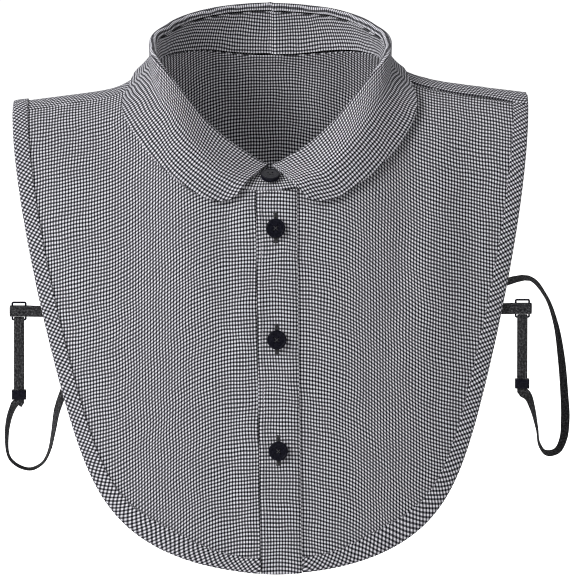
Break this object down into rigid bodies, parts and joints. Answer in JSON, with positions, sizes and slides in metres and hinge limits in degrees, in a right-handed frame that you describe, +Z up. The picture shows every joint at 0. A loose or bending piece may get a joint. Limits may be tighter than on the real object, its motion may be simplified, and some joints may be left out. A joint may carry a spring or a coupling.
{
  "type": "detachable shirt collar bib",
  "caption": "False shirt front with a round-ended collar, buttoned front, bias-bound front and back bibs and adjustable elastic side straps, shown as worn.",
  "frame": {"origin": "middle of the neck seam, where the wearer's neck passes through the collar", "axes": "+Z up along the wearer's neck, the front faces -Y, +X to the viewer's right from the front, which is the wearer's left"},
  "size_m": [0.3383, 0.1665, 0.328],
  "materials": {
    "checked_cloth": "fine black and white check, plain cotton",
    "bias_binding": "the same check cut on the bias",
    "black_button": "semi-gloss black",
    "black_plastic": "semi-gloss black",
    "black_elastic": "matt woven elastic"
  },
  "bodies": {
    "root": {"back_panel": "checked_cloth", "front_panel_left": "checked_cloth", "front_panel_right": "checked_cloth", "button_placket": "checked_cloth", "edge_binding_left": "bias_binding", "edge_binding_right": "bias_binding", "collar_stand": "checked_cloth", "collar_fall": "checked_cloth", "placket_button_1": "black_button", "placket_button_2": "black_button", "placket_button_3": "black_button", "collar_button": "black_button", "strap_ring_left": "black_plastic", "strap_ring_right": "black_plastic", "strap_slider_left": "black_plastic", "strap_slider_right": "black_plastic", "elastic_strap_left": "black_elastic", "elastic_strap_right": "black_elastic", "strap_tab_left": "black_elastic", "strap_tab_right": "black_elastic"}
  },
  "joints": []
}
